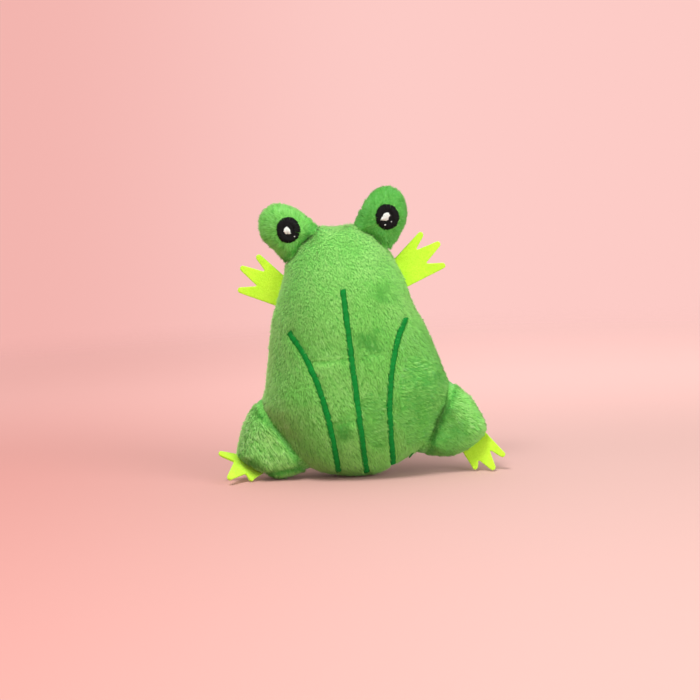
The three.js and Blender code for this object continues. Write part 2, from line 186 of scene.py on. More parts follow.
# Felt, in millimetres
FELT_SEWN_IN = 2.4
FELT_CURL = 1.2
FELT_FUZZ = 0.06

# Seeds of the random draws
POD_SEED = {"left": 100, "right": 120}
LEG_SEED = {"left": 200, "right": 220}


def rng(seed):
    return np.random.default_rng(seed)


def in_plane(across, up):
    """A way in the seam plane: so much across and so much up the upright toy."""
    return ACROSS * across + UPWARD * up


def toy(across, height):
    """A place in the seam plane, where the toy stands."""
    return TAIL + in_plane(across, height) * MM


def unit(v):
    return v / np.maximum(np.linalg.norm(v, axis=-1, keepdims=True), 1e-12)


def step(x, low, high):
    """From 0 below low to 1 above high, smoothly."""
    t = np.clip((x - low) / (high - low), 0, 1)
    return t * t * (3 - 2 * t)


def fade(gap, reach):
    """From 1 where the gap is 0 down to nearly 0 at twice the reach."""
    return np.exp(-((gap / reach) ** 2))


def drift(points, size, seed):
    """Smooth noise from about -1 to 1 at each point, with lumps of this size."""
    shift = Vector((seed * 7.3, seed * 3.1, seed * 5.7))
    return np.array([noise.noise(Vector(p) / size + shift) for p in points])


# Meshes


def linked(name, data):
    """A new object in the scene."""
    obj = bpy.data.objects.new(name, data)
    bpy.context.scene.collection.objects.link(obj)
    return obj


def mesh_of(name, vertices, faces, surface):
    """A smooth object with faces that all have the same number of corners."""
    faces = np.asarray(faces, np.int32)
    mesh = bpy.data.meshes.new(name)
    mesh.vertices.add(len(vertices))
    mesh.vertices.foreach_set("co", np.asarray(vertices, np.float32).ravel())
    corners = faces.shape[1]
    mesh.loops.add(faces.size)
    mesh.loops.foreach_set("vertex_index", faces.ravel())
    mesh.polygons.add(len(faces))
    mesh.polygons.foreach_set("loop_start", np.arange(0, faces.size, corners, dtype=np.int32))
    mesh.polygons.foreach_set("use_smooth", np.ones(len(faces), bool))
    mesh.update(calc_edges=True)
    mesh.validate()
    mesh.materials.append(surface)
    return linked(name, mesh)


def mixed_mesh(name, vertices, faces, surface):
    """A smooth object with faces of any number of corners."""
    mesh = bpy.data.meshes.new(name)
    mesh.from_pydata([tuple(v) for v in vertices], [], faces)
    mesh.polygons.foreach_set("use_smooth", np.ones(len(mesh.polygons), bool))
    mesh.validate()
    mesh.update()
    mesh.materials.append(surface)
    return linked(name, mesh)


def add_values(obj, name, values):
    attribute = obj.data.attributes.new(name, "FLOAT", "POINT")
    attribute.data.foreach_set("value", np.asarray(values, np.float32))


def read(items, what, width, kind=np.float32):
    """A property of vertices, edges or triangles, so many numbers for each."""
    found = np.empty(len(items) * width, kind)
    items.foreach_get(what, found)
    return found.reshape(-1, width)


def places(obj):
    return read(obj.data.vertices, "co", 3).astype(float)


def normals_of(obj):
    return read(obj.data.vertices, "normal", 3).astype(float)


def move(obj, vertices):
    """Puts an object's vertices elsewhere, but none of them into the floor."""
    vertices = vertices.copy()
    vertices[:, 2] = np.maximum(vertices[:, 2], FLOOR_GAP)
    obj.data.vertices.foreach_set("co", vertices.astype(np.float32).ravel())
    obj.data.update()


def evaluated(obj):
    """An object's mesh after its modifiers or its bevel."""
    graph = bpy.context.evaluated_depsgraph_get()
    return bpy.data.meshes.new_from_object(obj.evaluated_get(graph))


def tree_of(obj):
    vertices = [v.co for v in obj.data.vertices]
    return BVHTree.FromPolygons(vertices, [tuple(f.vertices) for f in obj.data.polygons])


# Materials


def material(name, roughness, sheen=0.0, specular=0.3):
    made = bpy.data.materials.new(name)
    made.use_nodes = True
    shader = made.node_tree.nodes["Principled BSDF"]
    shader.inputs["Roughness"].default_value = roughness
    shader.inputs["Specular IOR Level"].default_value = specular
    shader.inputs["Sheen Weight"].default_value = sheen
    shader.inputs["Sheen Roughness"].default_value = 0.5
    return made, made.node_tree, shader


def node(tree, kind, **values):
    """A node with these attributes, or inputs with _ for a space in their names."""
    made = tree.nodes.new(kind)
    for key, value in values.items():
        if hasattr(made, key):
            setattr(made, key, value)
        else:
            made.inputs[key.replace("_", " ")].default_value = value
    return made


def linear(colour):
    """The linear colour of an sRGB one given from 0 to 255."""
    part = [c / 255 for c in colour]
    return [c / 12.92 if c <= 0.04045 else ((c + 0.055) / 1.055) ** 2.4 for c in part] + [1]


def ramp(tree, factor, *stops):
    """A colour ramp of (place, sRGB colour) stops."""
    made = tree.nodes.new("ShaderNodeValToRGB")
    elements = made.color_ramp.elements
    while len(elements) < len(stops):
        elements.new(0.5)
    for element, (place, colour) in zip(elements, stops):
        element.position = place
        element.color = linear(colour)
    tree.links.new(factor, made.inputs["Fac"])
    return made.outputs["Color"]


def blended(tree, factor, first, second, how="MIX"):
    """Two colours mixed. The Mix node takes them at inputs 6 and 7 and gives output 2."""
    made = tree.nodes.new("ShaderNodeMix")
    made.data_type = "RGBA"
    made.blend_type = how
    for socket, value in ((0, factor), (6, first), (7, second)):
        if hasattr(value, "is_linked"):
            tree.links.new(value, made.inputs[socket])
        else:
            made.inputs[socket].default_value = value
    return made.outputs[2]


def mix_shaders(tree, factor, first, second, output):
    """Sends two shaders, mixed, to the output node."""
    mixed = tree.nodes.new("ShaderNodeMixShader")
    for i, socket in enumerate((factor, first.outputs[0], second.outputs[0])):
        tree.links.new(socket, mixed.inputs[i])
    tree.links.new(mixed.outputs[0], tree.nodes[output].inputs["Surface"])


def value_of(tree, name):
    return node(tree, "ShaderNodeAttribute", attribute_name=name).outputs["Fac"]


def spots(tree, size, **values):
    """Noise over the toy, with lumps of this size in millimetres."""
    where = tree.nodes.new("ShaderNodeTexCoord").outputs["Object"]
    made = node(tree, "ShaderNodeTexNoise", Scale=1 / (size * MM), **values)
    tree.links.new(where, made.inputs["Vector"])
    return made.outputs["Fac"]


def bump(tree, shader, height, distance):
    made = node(tree, "ShaderNodeBump", Distance=distance * MM)
    tree.links.new(height, made.inputs["Height"])
    tree.links.new(made.outputs["Normal"], shader.inputs["Normal"])


def pile_material():
    """Pile that is paler at its tips, cooler in patches, darker where it is rubbed up or painted
    with shade, and paler where light is painted on it.
    """
    made, tree, shader = material("plush_pile", 0.8, sheen=0.45, specular=0.12)
    shader.inputs["Sheen Tint"].default_value = linear((190, 240, 150))
    tones = (0, (80, 164, 62)), (0.5, (167, 236, 128)), (1, (212, 255, 178))
    shade = ramp(tree, value_of(tree, "tone"), *tones)
    patch = spots(tree, 14, Detail=3.0)
    cool = ramp(tree, patch, (0.42, (255, 255, 255)), (0.66, (232, 252, 230)))
    # Darker where the pile is rubbed up and where shade is painted, and paler below 0.3 where
    # light is painted
    rub_and_shade_stops = (0, (255, 255, 255)), (0.3, (230, 245, 226)), (1, (142, 196, 154))
    rubbed = ramp(tree, value_of(tree, "rub_and_shade"), *rub_and_shade_stops)
    cooled = blended(tree, 1.0, shade, cool, "MULTIPLY")
    tree.links.new(blended(tree, 1.0, cooled, rubbed, "MULTIPLY"), shader.inputs["Base Color"])
    return made


def skin_material():
    # The backing is painted darker than the pile, as painted shade at the roots of the pile.
    made, tree, shader = material("plush_backing", 0.9, sheen=0.3, specular=0.1)
    streak = spots(tree, 0.9, Detail=4.0, Roughness=0.6)
    shade = ramp(tree, streak, (0.3, (70, 154, 54)), (0.7, (130, 212, 100)))
    tree.links.new(shade, shader.inputs["Base Color"])
    bump(tree, shader, streak, 0.5)
    return made


def felt_material():
    made, tree, shader = material("lime_felt", 0.9, sheen=0.4, specular=0.15)
    fibre = spots(tree, 0.7, Detail=5.0, Roughness=0.7, Distortion=1.5)
    patch = spots(tree, 6, Detail=2.0)
    shade = ramp(tree, fibre, (0.3, (178, 232, 30)), (0.7, (208, 255, 68)))
    warm = ramp(tree, patch, (0.3, (240, 248, 226)), (0.7, (255, 255, 255)))
    tree.links.new(blended(tree, 1.0, shade, warm, "MULTIPLY"), shader.inputs["Base Color"])
    bump(tree, shader, fibre, 0.18)
    return made


def thread_material(name, dark, light, roughness):
    """Spun thread: fine plies that wind round it, and a shade for each stitch."""
    made, tree, shader = material(name, roughness, specular=0.15)
    ply = spots(tree, 0.16, Detail=2.0)
    shade = ramp(tree, value_of(tree, "tone"), (0, dark), (1, light))
    wear = ramp(tree, ply, (0.3, (215, 215, 215)), (0.7, (255, 255, 255)))
    tree.links.new(blended(tree, 1.0, shade, wear, "MULTIPLY"), shader.inputs["Base Color"])
    bump(tree, shader, ply, 0.03)
    return made


def loose_material(name, low, high, size, height):
    """Fibre, cloth or leaf that is hidden inside the toy."""
    made, tree, shader = material(name, 0.95)
    grain = spots(tree, size, Detail=5.0, Roughness=0.7)
    tree.links.new(ramp(tree, grain, (0.3, low), (0.7, high)), shader.inputs["Base Color"])
    bump(tree, shader, grain, height)
    return made


PILE = pile_material()
SKIN = skin_material()
FELT = felt_material()
GREEN_THREAD = thread_material("green_thread", (0, 112, 30), (2, 160, 60), 0.55)
BLACK_THREAD = thread_material("black_thread", (2, 2, 2), (20, 18, 19), 0.6)
WHITE_THREAD = thread_material("white_thread", (214, 220, 210), (246, 250, 244), 0.5)
WADDING = loose_material("wadding", (214, 213, 206), (246, 246, 242), 1.5, 0.8)
FILTER_CLOTH = loose_material("filter_cloth", (206, 198, 178), (236, 230, 214), 0.5, 0.1)
LEAF = loose_material("dried_leaf", (74, 80, 34), (142, 150, 84), 1.2, 0.8)


# Stuffed forms


class Form:
    """A stuffed form, star-shaped in its seam plane, read from the panel on its back's side."""

    rays = 720
    far = 0.2  # metres from the form's centre, well outside it
    taper = 0.8  # less makes the form fuller towards its seam

    def __init__(self, panel, smoothing):
        points = places(frame["nodes"][panel])
        top = points[points[:, 1].argmin()]
        self.centre = top[[0, 2]]
        self.crown = SEAM - top[1]
        tree = tree_of(frame["nodes"][panel])
        radii = []
        for angle in np.linspace(0, 2 * math.pi, self.rays, endpoint=False):
            out = Vector((math.cos(angle), 0, math.sin(angle)))
            start = Vector((self.centre[0], SEAM - 0.3 * MM, self.centre[1])) + out * self.far
            radii.append(self.far - tree.ray_cast(start, -out)[3])
        self.radii = self.smooth(np.array(radii), smoothing)

    def smooth(self, radii, degrees):
        """Radii after a round of averaging over neighbours this many degrees away."""
        reach = self.rays // 8
        offsets = np.arange(-reach, reach + 1) * 360 / self.rays
        weights = np.exp(-0.5 * (offsets / degrees) ** 2)
        wrapped = np.concatenate([radii[-reach:], radii, radii[:reach]])
        return np.convolve(wrapped, weights / weights.sum(), "valid")

    def surface(self, around, rings, grow):
        """Vertices and faces of the closed form, both sides of its seam."""
        angles = np.linspace(0, 2 * math.pi, around, endpoint=False)
        at = angles / (2 * math.pi) * self.rays
        radii = np.interp(at, np.arange(self.rays + 1), np.append(self.radii, self.radii[0]))
        radii = radii + grow
        rim = np.stack([radii * np.cos(angles), radii * np.sin(angles)], 1)
        rows = []
        for climb in np.linspace(-math.pi / 2, math.pi / 2, 2 * rings + 1)[1:-1]:
            flat = rim * math.cos(climb) ** self.taper + self.centre
            height = SEAM + (self.crown + grow) * math.sin(climb)
            rows.append(np.stack([flat[:, 0], np.full(around, height), flat[:, 1]], 1))
        x, z = self.centre
        poles = [[x, SEAM - self.crown - grow, z], [x, SEAM + self.crown + grow, z]]
        this = np.arange(len(rows) * around).reshape(-1, around)
        after = np.roll(this, -1, axis=1)
        quads = np.stack([this[:-1], this[1:], after[1:], after[:-1]], 2).reshape(-1, 4)
        caps = [(a, b, this.size) for a, b in zip(this[0], after[0])]
        caps += [(b, a, this.size + 1) for a, b in zip(this[-1], after[-1])]
        return np.concatenate([*rows, poles]), [*map(tuple, quads), *caps]


def stuff(obj, groove, lumps, seed):
    """Draws the seam in and gives the stuffing its lumps, with puckers along the seam."""
    at = places(obj)
    out = normals_of(obj)
    from_seam = np.abs(at[:, 1] - SEAM)
    at = at - out * (groove * fade(from_seam, 1.3 * MM))[:, None]
    swell = drift(at, 13 * MM, seed) * 0.6 + drift(at, 5.5 * MM, seed + 1) * 0.35
    pucker = drift(at * [1, 0.35, 1], 2.6 * MM, seed + 2) * np.exp(-from_seam / (4 * MM))
    at = at + out * (lumps * (swell + 0.2 * pucker))[:, None]
    move(obj, at)


class Hinge:
    """Where a limb is sewn on: its place, and the way out from what carries it."""

    def __init__(self, joint):
        found = next(j for j in frame["joints"] if j["name"] == joint)
        self.kind = joint.split("_", 1)[1].removesuffix("_flex")
        self.place = np.array(found["pos_m"])
        self.parent = found["parent"]
        self.child = found["child"]
        out = np.cross(unit(np.array(found["axis"], float)), [0, 1, 0])
        child = frame["record"]["behaviour"]["bodies"][self.child][0]
        low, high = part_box(child)
        middle = np.array((low + high) / 2)
        self.out = out if (middle - self.place) @ out > 0 else -out
        self.axis = unit(np.cross(self.out, [0, 1, 0]))
        self.along = self.axis * np.sign(self.axis[2])
        at = places(frame["nodes"][child])
        self.crown = SEAM - at[:, 1].min()
        sewn = self.width(at[self.reach(at) < 2 * MM])
        self.ends = sewn.min(), sewn.max()

    def reach(self, points):
        """How far out from the hinge points are."""
        return (points - self.place) @ self.out

    def width(self, points):
        """How far up along the hinge points are."""
        return (points - self.place) @ self.along

    def inside(self, points, below, above):
        """From 0 past the ends of the sewn edge to 1 this far inside its lower and upper end."""
        low, high = self.ends
        wide = self.width(points)
        return step(wide, low, low + below) * (1 - step(wide, high - above, high))

    def blend(self, obj):
        """Bakes an object's place into its mesh."""
        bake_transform(obj)


def tuck(obj, hinge, upper, lower):
    """Carries a limb's sewn edge in under the pile of the body, and widens it there."""
    at = places(obj)
    near = 1 - step(hinge.reach(at), 0, 6 * MM)
    wide = hinge.width(at)
    share = wide / np.abs(wide).max()
    flare = np.where(share > 0, upper, lower) * share
    edge = 1 - step(hinge.reach(at), 0, 8.5 * MM)
    at = at - np.outer(edge, hinge.out) * TUCK + np.outer(near * flare, hinge.along)
    move(obj, at)


def filled(points, hinge):
    """Keeps the cloth up beside a sewn edge, so that only a narrow crease is left there."""
    before = unpulled(points)
    reach = hinge.reach(before)
    share, far = CREASE[hinge.kind]
    groove = GROOVE * fade(reach + EDGE_IN, 1.2 * MM)
    near = hinge.inside(before, 7 * MM, 10 * MM) * fade(reach, far) * (1 - groove)
    deep = points[:, 1] - SEAM
    crown = hinge.crown / MM * share
    # The larger of the two heights, rounded where they meet
    full = (np.abs(deep / MM) ** 5 + (crown * near) ** 5) ** 0.2 * MM
    points = points.copy()
    points[:, 1] = SEAM + np.sign(deep) * full
    return points


def pulled(points):
    """Points of a cover after the pulls on its outline."""
    across, height = flat_places(points)
    for (x, z), reach, (right, up) in PULLS:
        near = np.exp(-((across - x) ** 2 + (height - z) ** 2) / reach**2)
        points = points + np.outer(near, in_plane(right, up)) * MM
    return points


def unpulled(points):
    """About where points of a pulled cover were before the pulls."""
    return 2 * points - pulled(points)


def furrow(points, part):
    """How deep the furrows in a limb's plush are at each point."""
    depth = np.zeros(len(points))
    for first, last, deep, reach in FURROWS.get(part, []):
        depth += deep * MM * fade(gap_to(points, [[first, last]]), reach)
    return depth


# Pile


def scatter(obj, per_mm2, seed):
    """Random points on an object's surface with its smooth normals."""
    obj.data.calc_loop_triangles()
    corners = read(obj.data.loop_triangles, "vertices", 3, np.int32)
    at, out = places(obj), normals_of(obj)
    a, b, c = (at[corners[:, i]] for i in range(3))
    area = np.linalg.norm(np.cross(b - a, c - a), axis=1) / 2
    draw = rng(seed)
    count = int(area.sum() / MM**2 * per_mm2)
    which = draw.choice(len(area), count, p=area / area.sum())
    u, v = draw.random(count), draw.random(count)
    u, v = np.where(u + v > 1, 1 - u, u), np.where(u + v > 1, 1 - v, v)
    share = np.stack([1 - u - v, u, v], 1)[:, :, None]
    return (at[corners[which]] * share).sum(1), unit((out[corners[which]] * share).sum(1))


def gathered(roots, tips, grain, many, clump, seed):
    """Draws neighbouring tufts together in streaks along the grain, and shades each streak."""
    draw = rng(seed)
    count = len(roots)
    shorter = roots - np.outer(roots @ grain, grain) * (1 - STREAK)
    streaks = draw.choice(count, max(count // many, 1), replace=False)
    finder = KDTree(len(streaks))
    for i, k in enumerate(streaks):
        finder.insert(Vector(shorter[k]), i)
    finder.balance()
    nearest = np.array([finder.find(Vector(p))[1] for p in shorter])
    chosen = streaks[nearest]
    # Each tip moves towards its streak's own, and keeps more of its place along the grain.
    apart = roots - roots[chosen]
    goal = tips[chosen] + 0.35 * apart + 0.45 * np.outer(apart @ grain, grain)
    pull = np.minimum((0.18 + 0.3 * draw.random(count)) * clump, 0.9)
    shade = draw.normal(0, 1, len(streaks))[nearest] * clump
    return tips + (goal - tips) * pull[:, None], shade


def tufts(name, roots, out, comb, seed, rub_and_shade, clump, grain, lie=0, many=TUFTS_PER_STREAK):
    """Tapered tufts that lean along the comb and draw together in streaks along the grain."""
    draw = rng(seed)
    count = len(roots)
    comb = unit(comb - out * (comb * out).sum(1)[:, None])
    beside = np.cross(out, comb)
    swing = draw.normal(0, 0.06, count) + 0.07 * drift(roots, 8 * MM, seed)
    comb = comb * np.cos(swing)[:, None] + beside * np.sin(swing)[:, None]
    lay = np.radians(LAY + 3 * draw.normal(0, 1, count) + 4 * drift(roots, 6 * MM, seed + 1))
    stray = draw.random(count) < STRAY
    lay = lay + np.radians(lie) - np.radians(STRAY_UP) * stray
    # Pile that hardly draws together is shorter.
    long = PILE_LENGTH * (0.7 + 0.3 * np.minimum(clump, 1)) * (1 + 0.12 * draw.normal(0, 1, count))
    heading = out * np.cos(lay)[:, None] + comb * np.sin(lay)[:, None]
    tips = roots + heading * long[:, None]
    tips, streak = gathered(roots, tips, unit(in_plane(*grain)), many, clump, seed + 3)

    # Each tuft has three corners in the cloth, and its tip.
    heading = unit(tips - roots)
    side = unit(np.cross(heading, out + 1e-3))
    other = np.cross(heading, side)
    corners = []
    to_corner = 0.58  # from a triangle's middle, as a share of its side
    for turn in (0, 2 * math.pi / 3, 4 * math.pi / 3):
        spread = side * math.cos(turn) + other * math.sin(turn)
        corners.append(roots - out * ROOTED * MM + spread * PILE_WIDE * to_corner)
    vertices = np.stack([*corners, tips], 1).reshape(-1, 3)
    vertices[:, 2] = np.maximum(vertices[:, 2], FLOOR_GAP)
    base = np.arange(count)[:, None] * 4
    faces = np.concatenate([base + f for f in ([0, 1, 3], [1, 2, 3], [2, 0, 3], [0, 2, 1])])
    obj = mesh_of(name, vertices, faces, PILE)
    own = draw.normal(0, 0.04, count) + drift(roots, 3 * MM, seed + 2) * 0.05 + streak * 0.07
    # Roots are painted darker than tips, as painted shade deep in the pile, and standing tufts
    # paler, as a painted highlight where they catch the light.
    tone = np.array([ROOT_TONE] * 3 + [TIP_TONE])[None, :] + (own + 0.12 * stray)[:, None]
    add_values(obj, "tone", np.clip(tone, 0, 1).ravel())
    rub_and_shade = np.clip(rub_and_shade * (1 + 0.25 * np.clip(streak, -1, 1)), 0, 1)
    add_values(obj, "rub_and_shade", np.repeat(rub_and_shade, 4))
    soften(obj, np.repeat(out, 4, axis=0))
    return obj


def soften(obj, out):
    """Shades fibre mostly like the cloth it stands on."""
    own = normals_of(obj)
    obj.data.normals_split_custom_set_from_vertices(unit(0.12 * own + 0.88 * out).tolist())


def flat_places(points):
    """Where points lie on the upright toy, in millimetres across and up."""
    offset = points - TAIL
    return offset @ ACROSS / MM, offset @ UPWARD / MM


def seen_places(points):
    """Where points show on the upright toy in the photograph, in millimetres across and up."""
    across, height = flat_places(points)
    return across, height - (SEAM - points[:, 1]) * math.tan(LOOK_DOWN) / MM


def body_comb(roots):
    """The body's comb, how much flatter the pile lies at partings, and where it is bare."""
    across, height = seen_places(roots)
    # Downwards, and left of the middle aslant to the right
    turn = 0.08 * drift(roots, 22 * MM, 5) + 0.45 * step(-across, -18, 6)
    comb = -np.outer(np.cos(turn), UPWARD) + np.outer(np.sin(turn), ACROSS)
    lie = np.zeros(len(roots))
    bare = np.zeros(len(roots), bool)
    wave = 0.35 * drift(np.stack([across, across * 0, across * 0], 1), 4, 9)
    for left, right, middle, reach in PARTINGS:
        over = height - middle - wave
        share = step(across, left - 2, left + 2) * (1 - step(across, right - 2, right + 2))
        share = share * (roots[:, 1] < SEAM)
        near = share * fade(over, reach)
        # The pile over the parting is combed up, and all of it lies flatter.
        comb = comb + np.outer(2.2 * near * (over > 0), UPWARD)
        lie += 16 * near
        bare |= (share > 0.5) & (np.abs(over) < 0.2)
    return unit(comb), lie, bare


def rub_and_shade_at(roots):
    """How much darker the back's pile is, 0 not, 1 fully: partly rubbed pile that shows its darker
    side, partly painted light, paler at the head.
    """
    across, height = seen_places(roots)
    ragged = 1 + 0.9 * drift(roots, 3 * MM, 17) + 0.7 * drift(roots, 1.2 * MM, 19)
    # More on the right below the middle line, and less at both flanks; less at the head, as
    # painted light where the head faces the light from above
    rub_and_shade = 0.3 + 0.3 * step(across, 2, 30) * (1 - step(height, 45, 70))
    rub_and_shade = rub_and_shade - 0.3 * step(height, 58, 84)
    rub_and_shade = rub_and_shade - 0.3 * step(-across, 20, 32) - 0.3 * step(across, 33, 40)
    for x, z, reach, amount in DARK_SPOTS:
        near = fade(np.hypot(across - x, height - z), reach * np.maximum(ragged, 0.2))
        rub_and_shade = rub_and_shade + amount * near * (roots[:, 1] < SEAM)
    return rub_and_shade


def edge_shade(roots, hinge):
    """How much painted shade darkens the pile right at a limb's sewn edge."""
    before = unpulled(roots)
    near = fade(hinge.reach(before) + EDGE_IN, MM)
    return CREASE_SHADE[1] * hinge.inside(before, 2 * MM, 6 * MM) * near


def ridges(roots):
    """From -1 between the ridges of rubbed pile to 1 on top of them."""
    across, height = seen_places(roots)
    # They run along the grain, waver, and fade out in places.
    right, up = GRAIN["rubbed"]
    rise = height - up / right * across + 1.2 * drift(roots, 6 * MM, 23)
    share = np.clip(0.4 + 1.3 * drift(roots, 4 * MM, 29), 0, 1)
    return np.sin(rise * 2 * math.pi / RIDGE_PITCH) * share


def ruffled(roots):
    """True where the back's pile was rubbed into ridges, in patches with frayed edges."""
    across, height = seen_places(roots)
    fray = 5 * drift(roots, 6 * MM, 13)
    found = np.zeros(len(roots), bool)
    for left, right, low, high in RUBBED:
        wide = (across > left + fray) & (across < right + fray)
        found |= wide & (height > low + fray) & (height < high + fray)
    return found & (roots[:, 1] < SEAM)


def skin(name, form, around, rings, nodes, seed, lumps):
    """The knitted backing of a form's two panels, stuffed and pulled into shape."""
    made = mixed_mesh(name, *form.surface(around, rings, -SKIN_DEPTH), SKIN)
    stuff(made, SEAM_GROOVE, lumps, seed)
    move(made, pulled(places(made)))
    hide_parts(*nodes)
    return made


# Embroidery


def curve_through(points, count):
    """Evenly spaced points on a smooth curve through the given ones."""
    p = np.array([points[0], *points, points[-1]], float)
    fine = []
    for i in range(len(points) - 1):
        a, b, c, d = p[i : i + 4]
        square = 2 * a - 5 * b + 4 * c - d
        cube = 3 * b - 3 * c + d - a
        for t in np.linspace(0, 1, 40, endpoint=False):
            fine.append(0.5 * (2 * b + (c - a) * t + square * t**2 + cube * t**3))
    fine = np.array(fine + [points[-1]])
    walked = np.append(0, np.cumsum(np.linalg.norm(np.diff(fine, axis=0), axis=1)))
    goal = np.linspace(0, walked[-1], count)
    return np.stack([np.interp(goal, walked, fine[:, k]) for k in (0, 1)], 1)


def length_of(points):
    return np.linalg.norm(np.diff(curve_through(points, 200), axis=0), axis=1).sum()


def tube(path, beside, over, radius, sides, base):
    """Vertices and faces of a closed, flattened tube round a path, numbered from base."""
    vertices = []
    for middle, right, up in zip(path, beside, over):
        for turn in np.arange(sides) * 2 * math.pi / sides:
            ring = right * math.cos(turn) + up * math.sin(turn) * THREAD_FLAT
            vertices.append(middle + ring * radius)
    this = base + np.arange(len(vertices)).reshape(-1, sides)
    after = np.roll(this, -1, axis=1)
    quads = np.stack([this[:-1], after[:-1], after[1:], this[1:]], 2).reshape(-1, 4)
    return vertices, [*map(tuple, quads), tuple(this[0, ::-1]), tuple(this[-1])]


def stitches(name, spans, face, surface, seed, arch):
    """Single stitches between pairs of points of the seam plane, bowed over a skin's face."""
    draw = rng(seed)
    tree = tree_of(face)
    steps, sides = 9, 6
    behind = -0.1  # metres, from where rays look for the face
    share = np.linspace(0, 1, steps)
    bow = np.sin(math.pi * share) ** 0.45  # steep at its ends and level between them
    vertices, faces, tone = [], [], []
    for first, second in spans:
        line = np.outer(1 - share, first) + np.outer(share, second)
        hits = [tree.ray_cast(Vector((p[0], behind, p[2])), Vector((0, 1, 0))) for p in line]
        path = np.array([np.array(hit[0]) for hit in hits])
        out = np.array([np.array(hit[1]) for hit in hits])
        out = unit(out.mean(0))[None, :]
        lift = SKIN_DEPTH * (0.3 + 0.6 * bow) + arch * bow * (0.85 + 0.3 * draw.random())
        path = path + out * lift[:, None]
        along = unit(np.gradient(path, axis=0))
        beside = unit(np.cross(along, out))
        over = np.cross(beside, along)
        radius = THREAD_RADIUS * (0.9 + 0.2 * draw.random())
        more_vertices, more_faces = tube(path, beside, over, radius, sides, len(vertices))
        vertices += more_vertices
        faces += more_faces
        tone += [0.5 + 0.15 * draw.normal()] * len(more_vertices)
    obj = mixed_mesh(name, vertices, faces, surface)
    add_values(obj, "tone", tone)
    return obj


def line_spans(rows, seed):
    """Satin stitches square across a line, a little slanted and uneven at their ends."""
    draw = rng(seed)
    count = int(length_of(rows) * MM / THREAD_PITCH)
    middle = curve_through(rows, count)
    heading = unit(np.gradient(middle, axis=0))
    spans = []
    for p, h in zip(middle, heading):
        across = np.array([h[1], -h[0]])
        ends = []
        for way in (-1, 1):
            reach = way * (LINE_WIDE / 2 + draw.normal(0, 0.11))
            q = p + across * reach + h * way * LINE_SLANT
            ends.append(toy(*q))
        spans.append(ends)
    return spans


def middle_of_line(name):
    """The middle of an embroidered line from the top down, read from its solid."""
    solid = frame["nodes"][name]
    first, last = read(solid.data.edges, "vertices", 2, np.int32).T
    across, height = flat_places(places(solid))
    middle = []
    margin = 0.6
    for level in np.linspace(height.max() - margin, height.min() + margin, 24):
        crossing = (height[first] - level) * (height[last] - level) < 0
        a, b = first[crossing], last[crossing]
        share = (level - height[a]) / (height[b] - height[a])
        found = across[a] + (across[b] - across[a]) * share
        middle.append(((found.min() + found.max()) / 2, level))
    return middle


def gap_to(points, paths):
    """Millimetres from points of the back to the nearest of some paths in its plane."""
    flat = np.stack(flat_places(points), 1)
    far_off = 99.0
    batch = 20000
    gap = np.full(len(points), far_off)
    for path in paths:
        along = curve_through(path, 160)
        for start in range(0, len(flat), batch):
            part = slice(start, start + batch)
            near = np.linalg.norm(flat[part, None, :] - along[None, :, :], axis=2).min(1)
            gap[part] = np.minimum(gap[part], near)
    gap[points[:, 1] > SEAM] = far_off
    return gap


def add_body():
    """The body's skin, its pile in three parts, and the lines stitched on it."""
    form = Form("back_panel", 3)
    cover = skin("body_plush", form, 240, 34, ["back_panel", "belly_panel"], 1, 0.5 * MM)
    for limb in ("eye_pod", "leg"):
        for side in SIDES:
            move(cover, filled(places(cover), Hinge(f"{side}_{limb}_flex")))
    paths = [middle_of_line(name) for name in LINES]
    at = places(cover)
    dent = LINE_DENT * fade(gap_to(at, paths), 1.7)
    move(cover, at - normals_of(cover) * dent[:, None])
    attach(cover, "torso")
    roots, out = scatter(cover, TUFTS_PER_MM2, 11)
    keep = gap_to(roots, paths) > LINE_BARE
    roots, out = roots[keep], out[keep]
    comb, lie, bare = body_comb(roots)
    roots, out, comb, lie = (found[~bare] for found in (roots, out, comb, lie))
    rubbed = ruffled(roots)
    comb[rubbed] = unit(in_plane(*COMB["rubbed"]))
    back = roots[:, 1] < SEAM
    legs = [Hinge(f"{side}_leg_flex") for side in SIDES]
    parts = {
        "back": (back & ~rubbed, TUFTS_PER_STREAK),
        "rubbed": (rubbed, TUFTS_PER_RIDGE),
        "belly": (~back, TUFTS_PER_STREAK),
    }
    for seed, (name, (chosen, many)) in enumerate(parts.items(), 21):
        at = roots[chosen]
        # The body's pile is painted darker at the legs' sewn edges, as painted shade in the
        # creases.
        rub_and_shade = rub_and_shade_at(at) + sum(edge_shade(at, leg) for leg in legs)
        # The pile lies smoother towards the head.
        clump = 1.3 - step(flat_places(at)[1], 48, 82)
        if name == "rubbed":
            # Darker between the ridges and paler on top: partly the pile's darker side, partly
            # painted shade in the troughs and painted light on the tops.
            rub_and_shade = 0.42 + 0.4 * rub_and_shade - 0.5 * ridges(at)
            clump = RUBBED_CLUMP
        dress = at, out[chosen], comb[chosen], seed, rub_and_shade, clump, GRAIN[name], lie[chosen], many
        made = tufts(f"body_pile_{name}", *dress)
        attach(made, "torso")
    for seed, (name, path) in enumerate(zip(LINES, paths), 31):
        spans = line_spans(path, seed)
        made = stitches(f"{name}_stitches", spans, cover, GREEN_THREAD, seed, 0.1 * MM)
        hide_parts(name)
        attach(made, "torso")
    return form, cover


